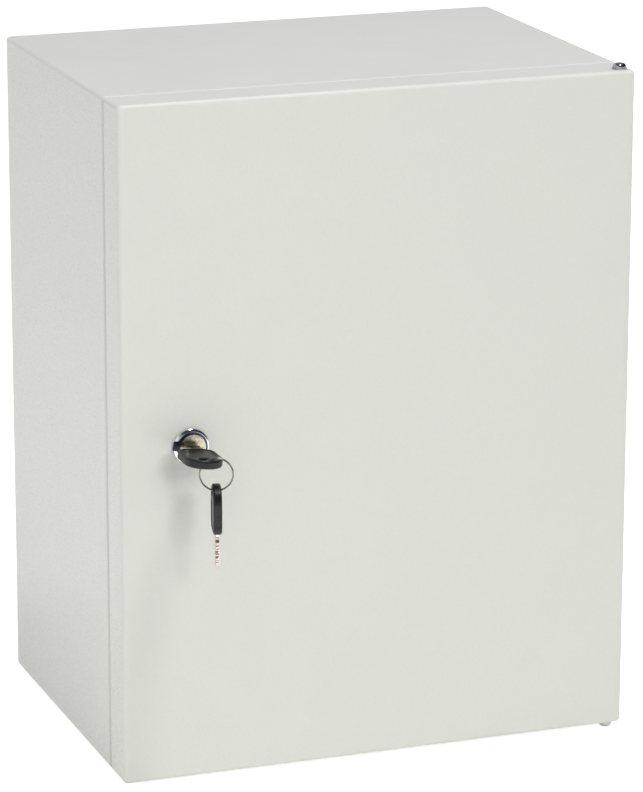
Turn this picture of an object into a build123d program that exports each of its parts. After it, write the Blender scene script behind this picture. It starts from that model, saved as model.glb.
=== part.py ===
from build123d import *
import math
import os

# Steel wall enclosure: a folded body welded to a back panel, a pan door on two screw pins,
# and a cam lock with its key, key ring and spare key.
#
# All sizes are in millimetres. Pieces are drawn looking at the front of the cabinet:
# x runs to the right, y runs up, z runs out of the wall, and z = 0 is the wall.
# The middle of the four wall holes is the origin. place() stands the drawing up, so that
# the finished part has +Z up and its door towards -Y.

# Cabinet
width = 310.0
height = 395.0
depth = 220.0
sheet = 1.2
bend = 2.5

# Front frame of the body and the door that covers it
door_depth = 25.0
door_gap = 2.5
lip_inset = 18.0
lip_inset_hinge = 30.0
lip_setback = 6.5
lip_corner = 8.0

# Smallest inner radius of a fold or a corner
least_corner = 0.3

# Back panel and wall holes
back_flange = 12.0
back_bend = 1.5
weld_fit = 0.1
wall_hole_inset_x = 40.0
wall_hole_inset_y = 25.0
wall_hole_r = 4.25

# Mounting panel on its four studs
panel_margin = 35.0
panel_sheet = 1.5
panel_flange = 8.0
panel_stud_inset = 15.0
panel_standoff = 12.0
standoff_r = 6.0

# M6 hardware of the mounting panel and the earth studs
m6_r = 3.0
m6_hole_fit = 0.35
m6_nut_flats = 10.0
m6_nut_height = 5.0
m6_washer_r = 6.2
m6_washer_height = 1.6
nut_fit = 0.1
stud_end = 4.0
stud_chamfer = 0.5
earth_stud_length = 15.0
earth_pad_r = 5.0
earth_pad_height = 1.0
body_earth_inset = 20.0
body_earth_height = 45.0
door_earth_inset = 55.0

# Cable gland plate over a cut-out in the bottom wall
gland_opening_width = 170.0
gland_opening_depth = 90.0
gland_opening_corner = 6.0
gland_from_wall = 95.0
gland_overlap = 14.0
gland_gasket_height = 2.0
gland_plate_sheet = 1.5
gland_stud_r = 2.5
gland_stud_end = 2.0
gland_nut_flats = 8.0
gland_nut_height = 4.0

# Hinges: a screw at the top and at the bottom, through the door's flange into a tongue
pin_from_side = 7.5
pin_from_front = 6.5
pin_r = 2.0
pin_running_fit = 0.06
hinge_play = 0.1
tongue_sheet = 3.0
tongue_eye_r = 4.5
tongue_near = 3.0
tongue_width = 12.0
tongue_neck = 9.0
tongue_leg = 22.0
tongue_fold = 2.4
slot_fit = 0.3
spacer_r = 4.0
spacer_height = 1.0
hinge_washer_r = 4.4
hinge_washer_height = 0.8
screw_head_r = 3.9
screw_head_height = 2.5
screw_head_round = 2.0
screw_recess_length = 4.2
screw_recess_width = 0.9
screw_recess_depth = 1.25
screw_tail = 2.0
notch_fit = 2.0

# Door seal
seal_width = 10.0
seal_height = 5.0
seal_corner = 6.0

# Cam lock, measured from the door's front face
lock_from_side = 41.0
lock_above_middle = 0.3
lock_length = 20.0
barrel_r = 9.0
barrel_flats = 15.6
barrel_fit = 0.2
bezel_r = 10.8
bezel_height = 2.2
bezel_round = 2.0
lock_seal_r = 10.2
lock_seal_height = 0.6
lock_nut_flats = 22.0
lock_nut_height = 4.0
plug_r = 5.95
plug_running_fit = 0.05
face_play = 0.1
plug_head_r = 6.7
plug_rim_r = 7.7
plug_rim_height = 0.6
plug_dome = 0.5
window_length = 11.3
window_width = 2.9
window_sink = 0.5
shutter_r = 9.0
shutter_height = 0.7
shutter_fit = 0.2
shutter_tab_reach = 11.5
shutter_tab_width = 5.6
shutter_tab_round = 1.0
shutter_turned = 10.0

# Turn of the core and its key, clockwise from upright
core_turned = 6.0

# Cam, its washer and its screw
cam_sheet = 2.0
cam_width = 14.0
cam_end_r = 8.0
cam_crank_start = 10.0
cam_crank_run = 7.0
latch_bite = 11.0
latch_clear = 2.8
drive_side = 6.4
drive_fit = 0.1
cam_washer_r = 6.5
cam_washer_height = 1.0
cam_screw_r = 2.0
cam_screw_flats = 7.0
cam_screw_head = 3.0
cam_screw_grip = 3.0

# Keys
blade_length = 19.5
blade_width = 8.2
blade_sheet = 2.0
blade_fit = 0.2
blade_point = 2.6
blade_tang = 12.0
tang_fit = 0.1
blade_groove_width = 1.6
blade_groove_depth = 0.45
blade_cut_count = 5
blade_cut_pitch = 3.2
blade_cut_least = 0.6
blade_cut_step = 0.45
blade_cut_floor = 0.6
keyway_spare = 1.3
key_shoulder_gap = 0.3
key_drawn = 8.7
bow_length = 27.5
bow_width = 22.0
bow_height = 5.0
bow_offset = 3.0
bow_outer_corner = 10.5
bow_inner_corner = 6.0
bow_edge = 1.3
bow_hole_length = 9.0
bow_hole_width = 4.6
bow_hole_from_end = 4.8
bow_hole_edge = 0.7
bow_field_margin = 2.2
bow_field_sink = 0.3

# Key ring: two turns of spring wire, pressed together
ring_r = 9.3
ring_wire_r = 0.45
ring_turn_pitch = 0.8
ring_azimuth = 20.0
ring_drop = 6.3
ring_slack = 0.2
ring_seat_gap = 0.6
spare_turned = 5.5

# Levels worked out from the sizes above
door_back = depth - door_depth
frame_front = door_back - door_gap
frame_back = frame_front - sheet
lip_front = depth - lip_setback
door_inside = depth - sheet
opening_inset = lip_inset + sheet
opening_inset_hinge = lip_inset_hinge + sheet
opening_height = height - 2 * opening_inset
opening_width = width - opening_inset - opening_inset_hinge
opening_x = (opening_inset - opening_inset_hinge) / 2
pin_x = width / 2 - pin_from_side
pin_z = depth - pin_from_front
lock_x = -width / 2 + lock_from_side
lock_y = lock_above_middle
bezel_front = lock_seal_height + bezel_height
plug_front = bezel_front + 2 * face_play + shutter_height + plug_rim_height + plug_dome
key_level = plug_front + key_shoulder_gap + key_drawn
hole_level = key_level + bow_length - bow_hole_from_end


def rounded_frame(outer_width, outer_height, corner, band):
    """A flat rectangular band with rounded corners, drawn about its middle."""
    inner_corner = max(corner - band, least_corner)
    outer = RectangleRounded(outer_width, outer_height, corner)
    return outer - RectangleRounded(outer_width - 2 * band, outer_height - 2 * band, inner_corner)


def folded_pan(pan_width, pan_height, pan_depth, thickness, fold, face_down=False):
    """A shallow folded tray. Its closed face is at z = pan_depth, or at z = 0 if face_down."""
    inner_fold = max(fold - thickness, least_corner)
    outer = extrude(RectangleRounded(pan_width, pan_height, fold), pan_depth)
    outer = fillet(outer.edges().group_by(Axis.Z)[-1], fold)
    hollow = extrude(
        RectangleRounded(pan_width - 2 * thickness, pan_height - 2 * thickness, inner_fold),
        pan_depth - thickness,
    )
    hollow = fillet(hollow.edges().group_by(Axis.Z)[-1], inner_fold)
    pan = outer - hollow
    if face_down:
        pan = Pos(0, 0, pan_depth) * Rot(180, 0, 0) * pan
    return pan


def four_places(pitch_x, pitch_y, z=0.0):
    """The four corners of a rectangle about the origin, as locations."""
    return [Pos(i * pitch_x / 2, j * pitch_y / 2, z) for i in (-1, 1) for j in (-1, 1)]


def washer(outer_r, hole_r, thickness):
    """A flat washer from z = 0 up."""
    return extrude(Circle(outer_r) - Circle(hole_r), thickness)


def hex_block(flats, thickness):
    """A hexagon from z = 0 up, with its outer corners chamfered at both ends."""
    corner_r = flats / math.sqrt(3)
    chamfer_height = (corner_r - flats / 2) / 2
    turned = Polygon(
        (0, 0),
        (flats / 2, 0),
        (corner_r, chamfer_height),
        (corner_r, thickness - chamfer_height),
        (flats / 2, thickness),
        (0, thickness),
        align=None,
    )
    return extrude(RegularPolygon(corner_r, 6), thickness) & revolve(Plane.XZ * turned, Axis.Z)


def hex_nut(flats, hole_r, thickness):
    """A hexagon nut from z = 0 up."""
    return hex_block(flats, thickness) - extrude(Circle(hole_r), thickness)


def stud(radius, length):
    """A round bar from z = 0 up, with a chamfered end."""
    bar = extrude(Circle(radius), length)
    return chamfer(bar.edges().group_by(Axis.Z)[-1], stud_chamfer)


def body_shell():
    """Top, bottom and side walls in one fold, with the front frame and the rain lip."""
    shell = folded_pan(width, height, frame_front, sheet, bend)
    lip_band = rounded_frame(opening_width + 2 * sheet, opening_height + 2 * sheet, lip_corner, sheet)
    opening = RectangleRounded(opening_width, opening_height, lip_corner - sheet)
    shell -= Pos(opening_x, 0, frame_back - sheet) * extrude(opening, 3 * sheet)
    shell += Pos(opening_x, 0, frame_back) * extrude(lip_band, lip_front - frame_back)
    cut = RectangleRounded(gland_opening_width, gland_opening_depth, gland_opening_corner)
    shell -= Pos(0, -height / 2, gland_from_wall) * Rot(90, 0, 0) * extrude(cut, sheet * 2, both=True)
    slot = Box(tongue_width + 2 * slot_fit, tongue_sheet + 2 * slot_fit, 4 * sheet)
    for end in (1, -1):
        shell -= Pos(tongue_middle_x(), end * tongue_middle_y(), frame_back) * slot
    return shell


def back_panel():
    """The flanged rear wall, let into the body and open to the room by four wall holes."""
    inset = sheet + weld_fit
    pan_width = width - 2 * inset
    pan_height = height - 2 * inset
    panel = folded_pan(pan_width, pan_height, back_flange, sheet, back_bend, face_down=True)
    for place_hole in four_places(width - 2 * wall_hole_inset_x, height - 2 * wall_hole_inset_y):
        panel -= place_hole * Cylinder(wall_hole_r, 4 * sheet)
    return panel


def panel_size():
    """Width and height of the mounting panel."""
    return width - 2 * panel_margin, height - 2 * panel_margin


def stud_places(z):
    """Where the mounting panel is fixed."""
    panel_w, panel_h = panel_size()
    return four_places(panel_w - 2 * panel_stud_inset, panel_h - 2 * panel_stud_inset, z=z)


def panel_stack():
    """Levels of the mounting panel's seat, its front face, and the nut's outer face."""
    seat = sheet + panel_standoff
    front = seat + panel_sheet
    return seat, front, front + m6_washer_height + m6_nut_height


def panel_studs():
    """Four weld studs whose shoulders hold the mounting panel off the back panel."""
    seat, _, nut_top = panel_stack()
    shouldered = stud(standoff_r, panel_standoff)
    shouldered += Pos(0, 0, panel_standoff) * stud(m6_r, nut_top + stud_end - seat)
    return [spot * shouldered for spot in stud_places(sheet)]


def mounting_panel():
    """A flat plate with its two long edges folded back, drilled for the studs."""
    panel_w, panel_h = panel_size()
    seat, front, _ = panel_stack()
    profile = Rectangle(panel_w, panel_flange, align=(Align.CENTER, Align.MAX))
    profile = fillet(profile.vertices().group_by(Axis.Y)[-1], bend)
    inner = Rectangle(panel_w - 2 * panel_sheet, panel_flange, align=(Align.CENTER, Align.MAX))
    inner = fillet(inner.vertices().group_by(Axis.Y)[-1], bend - panel_sheet)
    channel = extrude(profile - Pos(0, -panel_sheet) * inner, panel_h / 2, both=True)
    plate = Pos(0, 0, front) * Rot(90, 0, 0) * channel
    for spot in stud_places(seat + panel_sheet / 2):
        plate -= spot * Cylinder(m6_r + m6_hole_fit, 2 * panel_sheet)
    return plate


def gland_places(y):
    """Studs of the gland plate, in the middle of its overlap with the bottom wall."""
    spots = []
    for i in (-1, 0, 1):
        for j in (-1, 1):
            x = i * (gland_opening_width + gland_overlap) / 2
            z = gland_from_wall + j * (gland_opening_depth + gland_overlap) / 2
            spots.append(Pos(x, y, z) * Rot(-90, 0, 0))
    return spots


def gland_levels():
    """Levels of the bottom wall's inside, the gasket's top and the gland plate's top."""
    floor_level = -height / 2 + sheet
    gasket_top = floor_level + gland_gasket_height
    return floor_level, gasket_top, gasket_top + gland_plate_sheet


def gland_layer(level, thickness, open_middle):
    """The gland gasket or the gland plate, lying on a level with its stud holes."""
    corner = gland_opening_corner + gland_overlap / 2
    layer = RectangleRounded(
        gland_opening_width + 2 * gland_overlap, gland_opening_depth + 2 * gland_overlap, corner
    )
    if open_middle:
        layer -= RectangleRounded(gland_opening_width, gland_opening_depth, gland_opening_corner)
    slab = Pos(0, level, gland_from_wall) * Rot(-90, 0, 0) * extrude(layer, thickness)
    for spot in gland_places(level):
        slab -= spot * Cylinder(gland_stud_r + m6_hole_fit, 4 * thickness)
    return slab


def earth_set(level, inward=False):
    """Stud, washer and nut of one earth point, standing on a level of its own."""
    turn = Rot(180, 0, 0) if inward else Rot(0, 0, 0)
    padded = stud(earth_pad_r, earth_pad_height) + stud(m6_r, earth_stud_length)
    ring = Pos(0, 0, earth_pad_height) * washer(m6_washer_r, m6_r + m6_hole_fit, m6_washer_height)
    nut_level = earth_pad_height + m6_washer_height
    nut = Pos(0, 0, nut_level) * hex_nut(m6_nut_flats, m6_r + nut_fit, m6_nut_height)
    return [level * turn * piece for piece in (padded, ring, nut)]


def tongue_middle_x():
    """Middle of the hinge tongue's arm, towards the door's middle from the pin."""
    return pin_x - tongue_near - tongue_width / 2


def tongue_middle_y():
    """Middle of the tongue's thickness, measured up from the cabinet's middle."""
    return height / 2 - sheet - hinge_play - spacer_height - tongue_sheet / 2


def hinge_bracket(end):
    """A tongue that carries the pin, through the front frame to a leg welded behind it."""
    arm_x = tongue_middle_x() - pin_x
    eye = Circle(tongue_eye_r)
    neck = Pos(arm_x, -tongue_neck - sheet / 2) * Rectangle(tongue_width, sheet)
    outline = make_hull(eye.edges() + neck.edges())
    arm_length = pin_z - frame_back - tongue_neck + tongue_sheet
    outline += Pos(arm_x, -tongue_neck - arm_length / 2) * Rectangle(tongue_width, arm_length)
    tongue = extrude(outline, tongue_sheet / 2, both=True)
    tongue -= Cylinder(pin_r + pin_running_fit, 2 * tongue_sheet)
    leg = Box(tongue_width, tongue_leg, tongue_sheet, align=(Align.CENTER, Align.MAX, Align.MAX))
    bracket = Rot(90, 0, 0) * tongue + Pos(arm_x, tongue_sheet / 2, frame_back - pin_z) * leg
    folds = bracket.edges().filter_by(Axis.X)
    outer_corner = folds.sort_by(lambda edge: edge.center().Y - edge.center().Z)[-1]
    bracket = fillet(outer_corner, tongue_fold)
    bracket = Pos(pin_x, tongue_middle_y(), pin_z) * bracket
    return bracket if end > 0 else mirror(bracket, Plane.XZ)


def on_hinge(piece, level, end):
    """Set a piece drawn along z onto the hinge axis, at a level up from the middle."""
    piece = Pos(pin_x, level, pin_z) * Rot(-90, 0, 0) * piece
    return piece if end > 0 else mirror(piece, Plane.XZ)


def hinge_screw(end):
    """A pan head screw whose plain shank is the hinge pin."""
    head_level = height / 2 + hinge_play + hinge_washer_height
    tongue_bottom = tongue_middle_y() - tongue_sheet / 2
    shank = head_level - tongue_bottom + screw_tail
    head = extrude(Circle(screw_head_r), screw_head_height)
    head = fillet(head.edges().group_by(Axis.Z)[-1], screw_head_round)
    recess = Box(screw_recess_length, screw_recess_width, 2 * screw_recess_depth)
    for turn in (0, 90):
        head -= Pos(0, 0, screw_head_height) * Rot(0, 0, turn) * recess
    screw = head + Rot(180, 0, 0) * stud(pin_r, shank)
    return on_hinge(screw, head_level, end)


def hinge_washer(end):
    """The washer under the screw's head, on the outside of the door's flange."""
    ring = washer(hinge_washer_r, pin_r + pin_running_fit, hinge_washer_height)
    return on_hinge(ring, height / 2 + hinge_play, end)


def hinge_spacer(end):
    """The washer that the door's flange turns on, lying on the tongue."""
    ring = washer(spacer_r, pin_r + pin_running_fit, spacer_height)
    return on_hinge(ring, tongue_middle_y() + tongue_sheet / 2, end)


def lock_hole(fit):
    """Outline of the lock's barrel: a circle with two flats, with room all round."""
    return Circle(barrel_r + fit) & Rectangle(4 * barrel_r, barrel_flats + 2 * fit)


def door_panel():
    """The door's folded pan, notched for the hinge tongues and pierced for the lock."""
    door = Pos(0, 0, door_back) * folded_pan(width, height, door_depth, sheet, bend)
    notch_height = height / 2 - tongue_middle_y() + tongue_sheet / 2 + notch_fit
    notch_depth = door_depth - bend
    notch = Box(2 * bend, notch_height - sheet, notch_depth, align=(Align.CENTER, Align.MAX, Align.MIN))
    notch = Pos(width / 2, height / 2 - sheet, door_back) * notch
    pin_hole = Rot(90, 0, 0) * Cylinder(pin_r + pin_running_fit, 4 * sheet)
    pin_hole = Pos(pin_x, height / 2, pin_z) * pin_hole
    for cutter in (notch, pin_hole):
        door -= cutter
        door -= mirror(cutter, Plane.XZ)
    door -= Pos(lock_x, lock_y, door_inside) * extrude(lock_hole(barrel_fit), 2 * sheet, both=True)
    return door


def door_seal():
    """A foam frame on the door's inside, centred on the edge of the rain lip that it meets."""
    band_width = opening_width + sheet + seal_width
    band_height = opening_height + sheet + seal_width
    band = rounded_frame(band_width, band_height, seal_corner + seal_width, seal_width)
    return Pos(opening_x, 0, door_inside - seal_height) * extrude(band, seal_height)


def on_lock(piece, level=0.0):
    """Set a piece onto the lock's axis, at a level out from the door's front face."""
    return Pos(lock_x, lock_y, depth + level) * piece


def on_core(piece, level=0.0):
    """Set a piece onto the lock's axis, turned with the core."""
    return on_lock(Rot(0, 0, -core_turned) * piece, level)


def lock_housing():
    """Barrel with two flats and the round bezel that shows on the door."""
    bezel = extrude(Circle(bezel_r), bezel_height)
    bezel = fillet(bezel.edges().group_by(Axis.Z)[-1], bezel_round)
    housing = Pos(0, 0, lock_seal_height) * bezel
    barrel_length = lock_length + lock_seal_height
    housing += Pos(0, 0, -lock_length) * extrude(lock_hole(0.0), barrel_length)
    housing -= Cylinder(plug_r + plug_running_fit, 4 * lock_length)
    return on_lock(housing)


def lock_plug():
    """The turning core: a domed face with the keyway, and a square drive for the cam."""
    head_level = bezel_front + face_play
    rim_level = head_level + shutter_height + face_play
    dome_level = plug_front - plug_dome
    root, _ = cam_levels()
    outline = Polyline(
        (0, plug_front),
        (0, root),
        (plug_r, root),
        (plug_r, head_level),
        (plug_head_r, head_level),
        (plug_head_r, rim_level),
        (plug_rim_r, rim_level),
        (plug_rim_r, dome_level),
    )
    # A shallow dome has three quarters of its height at half its radius
    half_way = (plug_rim_r / 2, dome_level + plug_dome * 3 / 4)
    dome = ThreePointArc((plug_rim_r, dome_level), half_way, (0, plug_front))
    plug = revolve(Plane.XZ * make_face(outline + dome), Axis.Z)
    drive_length = cam_sheet - face_play
    drive = Box(drive_side, drive_side, drive_length, align=(Align.CENTER, Align.CENTER, Align.MAX))
    plug += Pos(0, 0, root) * drive
    window = SlotOverall(window_length, window_width)
    plug -= Pos(0, 0, dome_level - window_sink) * extrude(window, 2 * window_sink + plug_dome)
    keyway_end = plug_front + key_shoulder_gap - blade_length - keyway_spare
    keyway = Rectangle(blade_width + 2 * blade_fit, blade_sheet + 2 * blade_fit)
    plug -= Pos(0, 0, keyway_end) * extrude(keyway, plug_front - keyway_end)
    screw_hole = extrude(Circle(cam_screw_r + nut_fit), drive_length + cam_screw_grip)
    plug -= Pos(0, 0, root - drive_length) * screw_hole
    return on_core(plug)


def lock_shutter():
    """The dust shutter's thumb ring, turning on the bezel's face, with its tab."""
    ring = Circle(shutter_r)
    tab = Rectangle(shutter_tab_reach, shutter_tab_width, align=(Align.MAX, Align.CENTER))
    tab = fillet(tab.vertices().group_by(Axis.X)[0], shutter_tab_round)
    outline = ring + tab - Circle(plug_head_r + shutter_fit)
    shutter = Rot(0, 0, -shutter_turned) * extrude(outline, shutter_height)
    return on_lock(shutter, bezel_front + face_play)


def lock_seal():
    """A thin ring between the bezel and the door."""
    return on_lock(washer(lock_seal_r, barrel_r + barrel_fit, lock_seal_height))


def lock_nut():
    """The hexagon nut that clamps the lock from inside the door."""
    nut = hex_nut(lock_nut_flats, barrel_r + nut_fit, lock_nut_height)
    return on_lock(nut, -sheet - lock_nut_height)


def cam_levels():
    """Front level of the cam at the lock and at its tip, out from the door's front face."""
    root = -lock_length - face_play
    tip = frame_back - latch_clear - depth
    return root, tip


def lock_cam():
    """The cranked latch plate. It points down, unlocked, and turns to reach behind the frame."""
    root, tip = cam_levels()
    reach = lock_from_side - opening_inset + latch_bite
    crank_end = cam_crank_start + cam_crank_run
    slope = math.atan2(root - tip, cam_crank_run)
    shift = cam_sheet * math.tan(slope / 2)
    profile = Polygon(
        (-cam_end_r, root),
        (cam_crank_start, root),
        (crank_end, tip),
        (reach, tip),
        (reach, tip - cam_sheet),
        (crank_end - shift, tip - cam_sheet),
        (cam_crank_start - shift, root - cam_sheet),
        (-cam_end_r, root - cam_sheet),
        align=None,
    )
    bar = extrude(Plane.XZ * profile, cam_end_r, both=True)
    shank = Pos((reach - cam_width / 2) / 2, 0) * Rectangle(reach - cam_width / 2, cam_width)
    plan = Circle(cam_end_r) + shank + Pos(reach - cam_width / 2, 0) * Circle(cam_width / 2)
    plan -= Rectangle(drive_side + 2 * drive_fit, drive_side + 2 * drive_fit)
    bar &= Pos(0, 0, tip - 2 * cam_sheet) * extrude(plan, root - tip + 4 * cam_sheet)
    return on_core(Rot(0, 0, -90) * bar)


def cam_washer():
    """The washer between the cam and its screw."""
    root, _ = cam_levels()
    ring = washer(cam_washer_r, cam_screw_r + nut_fit, cam_washer_height)
    return on_core(ring, root - cam_sheet - cam_washer_height)


def cam_screw():
    """The hexagon screw that holds the cam on the plug."""
    root, _ = cam_levels()
    seat = root - cam_sheet - cam_washer_height
    head = Pos(0, 0, seat - cam_screw_head) * hex_block(cam_screw_flats, cam_screw_head)
    shank_length = cam_washer_height + cam_sheet + cam_screw_grip - face_play
    return on_core(head + Pos(0, 0, seat) * stud(cam_screw_r, shank_length))


def key_blade():
    """Flat blade and tang, along z, with the bow's inner face at z = 0."""
    half = blade_width / 2
    outline = Polygon(
        (-half, blade_tang),
        (half, blade_tang),
        (half, -blade_length + blade_point),
        (half - blade_point, -blade_length),
        (-half + blade_point / 2, -blade_length),
        (-half, -blade_length + blade_point / 2),
        align=None,
    )
    for step in range(blade_cut_count):
        level = -blade_length + blade_point + blade_cut_pitch * (step + 0.5)
        # Depths run through three steps, so that neighbours always differ
        bottom = half - blade_cut_least - blade_cut_step * (2 * step % 3)
        outer = half + sheet
        spread = blade_cut_floor / 2 + outer - bottom
        outline -= Polygon(
            (outer, level - spread),
            (outer, level + spread),
            (bottom, level + blade_cut_floor / 2),
            (bottom, level - blade_cut_floor / 2),
            align=None,
        )
    blade = Rot(90, 0, 0) * extrude(outline, blade_sheet / 2, both=True)
    groove = Box(blade_groove_width, 2 * blade_groove_depth, 2 * blade_length)
    for side in (1, -1):
        blade -= Pos(-blade_groove_width, side * blade_sheet / 2, -blade_length) * groove
    return blade


def bow_hole(fit=0.0):
    """Outline of the ring's hole, a slot across the bow, about the hole's middle."""
    return SlotOverall(bow_hole_length + 2 * fit, bow_hole_width + 2 * fit)


def key_bow():
    """Moulded grip from z = 0 out, with the ring's hole near its end and a pocket for the tang."""
    outline = Pos(0, bow_length / 2) * Rectangle(bow_width, bow_length)
    outline = fillet(outline.vertices().group_by(Axis.Y)[-1], bow_outer_corner)
    outline = fillet(outline.vertices().group_by(Axis.Y)[0], bow_inner_corner)
    bow = extrude(outline, bow_height / 2, both=True)
    bow = fillet(bow.edges().group_by(Axis.Z)[-1] + bow.edges().group_by(Axis.Z)[0], bow_edge)
    hole_place = Pos(0, bow_length - bow_hole_from_end)
    bow -= hole_place * extrude(bow_hole(), bow_height, both=True)
    rim_zone = hole_place * extrude(bow_hole(bow_hole_edge), bow_height, both=True)
    rims = [edge for edge in bow.edges() if rim_zone.is_inside(edge.center())]
    level_rims = [edge for edge in rims if abs(edge.center().Z) > bow_height / 2 - bow_hole_edge]
    bow = fillet(level_rims, bow_hole_edge)
    field_length = bow_length - bow_hole_from_end - bow_hole_width / 2 - 2 * bow_field_margin
    field_corner = bow_inner_corner - bow_field_margin
    field = RectangleRounded(bow_width - 2 * bow_field_margin, field_length, field_corner)
    field = Pos(0, bow_field_margin + field_length / 2) * extrude(field, bow_field_sink, both=True)
    for side in (1, -1):
        bow -= Pos(0, 0, side * bow_height / 2) * field
    pocket = Rectangle(blade_width + tang_fit, blade_tang + tang_fit, align=(Align.CENTER, Align.MIN))
    bow = Pos(-bow_offset, 0) * bow - extrude(pocket, (blade_sheet + tang_fit) / 2, both=True)
    return Rot(90, 0, 0) * bow


def ring_directions():
    """Unit vectors of the ring's plane: across, and towards the viewer out of it."""
    turn = math.radians(ring_azimuth)
    return Vector(math.cos(turn), 0, math.sin(turn)), Vector(-math.sin(turn), 0, math.cos(turn))


def ring_middle():
    """Centre of the key ring, hanging from the hole of the key in the lock."""
    across, _ = ring_directions()
    hole = on_core(Vertex(-bow_offset, 0, 0), hole_level).center()
    # The wire leaves the bow's two faces equally far to either side of the hole's middle
    at_top = math.sqrt(ring_r**2 - (ring_drop + bow_height / 2) ** 2)
    at_bottom = math.sqrt(ring_r**2 - (ring_drop - bow_height / 2) ** 2)
    return hole + across * ((at_top + at_bottom) / 2 - ring_slack) - Vector(0, ring_drop, 0)


def key_ring():
    """Two turns of wire side by side, as one closed ring."""
    across, towards = ring_directions()
    wires = [Pos(ring_r, side * ring_turn_pitch / 2) * Circle(ring_wire_r) for side in (1, -1)]
    ring = revolve(Plane.XZ * (wires[0] + wires[1]), Axis.Z)
    return Plane(origin=ring_middle(), x_dir=across, z_dir=towards) * ring


def hang_spare(piece):
    """Hang a piece of the spare key from the bottom of the ring, nearly edge on to the viewer."""
    across, towards = ring_directions()
    turn = math.radians(spare_turned)
    facing = towards * math.cos(turn) + across * math.sin(turn)
    wire_level = ring_middle() - Vector(0, ring_r, 0)
    hole_drop = bow_hole_width / 2 - ring_wire_r - ring_seat_gap
    origin = wire_level - Vector(0, hole_drop + bow_length - bow_hole_from_end, 0)
    return Plane(origin=origin + facing * bow_offset, x_dir=facing, z_dir=(0, 1, 0)) * piece


def pieces():
    """Every node's name with its solids, still drawn as seen from the front."""
    _, panel_front, _ = panel_stack()
    floor_level, gasket_top, plate_top = gland_levels()
    body_earth = Pos(-width / 2 + body_earth_inset, -height / 2 + body_earth_height, sheet)
    door_earth = Pos(width / 2 - door_earth_inset, -height / 2 + door_earth_inset, door_inside)
    gland_stud = stud(gland_stud_r, plate_top + gland_nut_height + gland_stud_end - floor_level)
    panel_washer = washer(m6_washer_r, m6_r + m6_hole_fit, m6_washer_height)
    panel_nut = hex_nut(m6_nut_flats, m6_r + nut_fit, m6_nut_height)
    gland_nut = hex_nut(gland_nut_flats, gland_stud_r + nut_fit, gland_nut_height)
    nodes = {
        "body_shell": body_shell(),
        "back_panel": back_panel(),
        "panel_studs": panel_studs(),
        "mounting_panel": mounting_panel(),
        "panel_washers": [spot * panel_washer for spot in stud_places(panel_front)],
        "panel_nuts": [spot * panel_nut for spot in stud_places(panel_front + m6_washer_height)],
        "gland_gasket": gland_layer(floor_level, gland_gasket_height, open_middle=True),
        "gland_plate": gland_layer(gasket_top, gland_plate_sheet, open_middle=False),
        "gland_studs": [spot * gland_stud for spot in gland_places(floor_level)],
        "gland_nuts": [spot * gland_nut for spot in gland_places(plate_top)],
        "door_panel": door_panel(),
        "door_seal": door_seal(),
        "lock_housing": lock_housing(),
        "lock_seal": lock_seal(),
        "lock_nut": lock_nut(),
        "lock_shutter": lock_shutter(),
        "lock_plug": lock_plug(),
        "lock_cam": lock_cam(),
        "cam_washer": cam_washer(),
        "cam_screw": cam_screw(),
        "key_blade": on_core(key_blade(), key_level),
        "key_bow": on_core(key_bow(), key_level),
        "key_ring": key_ring(),
        "spare_key_blade": hang_spare(key_blade()),
        "spare_key_bow": hang_spare(key_bow()),
    }
    for owner, spot, inward in (("body", body_earth, False), ("door", door_earth, True)):
        for name, piece in zip(("earth_stud", "earth_washer", "earth_nut"), earth_set(spot, inward)):
            nodes[owner + "_" + name] = piece
    for end, label in ((1, "top"), (-1, "bottom")):
        nodes["hinge_bracket_" + label] = hinge_bracket(end)
        nodes["hinge_screw_" + label] = hinge_screw(end)
        nodes["hinge_washer_" + label] = hinge_washer(end)
        nodes["hinge_spacer_" + label] = hinge_spacer(end)
    return nodes


def place(solids):
    """Stand the drawing up: its z becomes -Y and its y becomes +Z."""
    solids = solids if isinstance(solids, list) else [solids]
    return Compound(children=[Rot(90, 0, 0) * solid for piece in solids for solid in piece.solids()])


os.makedirs("parts", exist_ok=True)
for node, solids in pieces().items():
    export_step(place(solids), "parts/" + node + ".step")
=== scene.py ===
import logging
import math
from dataclasses import dataclass
from enum import Enum
from typing import Callable, Sequence

import bpy
from mathutils import Matrix, Vector


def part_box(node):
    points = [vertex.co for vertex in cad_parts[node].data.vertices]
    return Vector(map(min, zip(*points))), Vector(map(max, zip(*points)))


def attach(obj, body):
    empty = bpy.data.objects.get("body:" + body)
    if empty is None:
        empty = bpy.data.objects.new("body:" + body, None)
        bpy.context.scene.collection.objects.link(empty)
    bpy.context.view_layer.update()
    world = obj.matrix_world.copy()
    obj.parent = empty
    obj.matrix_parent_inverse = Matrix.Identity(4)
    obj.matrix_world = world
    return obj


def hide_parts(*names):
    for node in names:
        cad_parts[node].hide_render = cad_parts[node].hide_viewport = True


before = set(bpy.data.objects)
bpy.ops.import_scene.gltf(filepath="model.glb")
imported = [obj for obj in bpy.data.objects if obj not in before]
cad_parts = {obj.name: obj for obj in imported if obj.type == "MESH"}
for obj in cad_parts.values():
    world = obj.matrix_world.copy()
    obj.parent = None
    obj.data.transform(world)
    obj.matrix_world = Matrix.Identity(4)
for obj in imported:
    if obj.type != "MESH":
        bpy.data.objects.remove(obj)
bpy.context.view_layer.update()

log = logging.getLogger("wall_cabinet")

Rgb = tuple[float, float, float]
Xyz = tuple[float, float, float]
Points = list[Vector]
MM = 0.001


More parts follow.
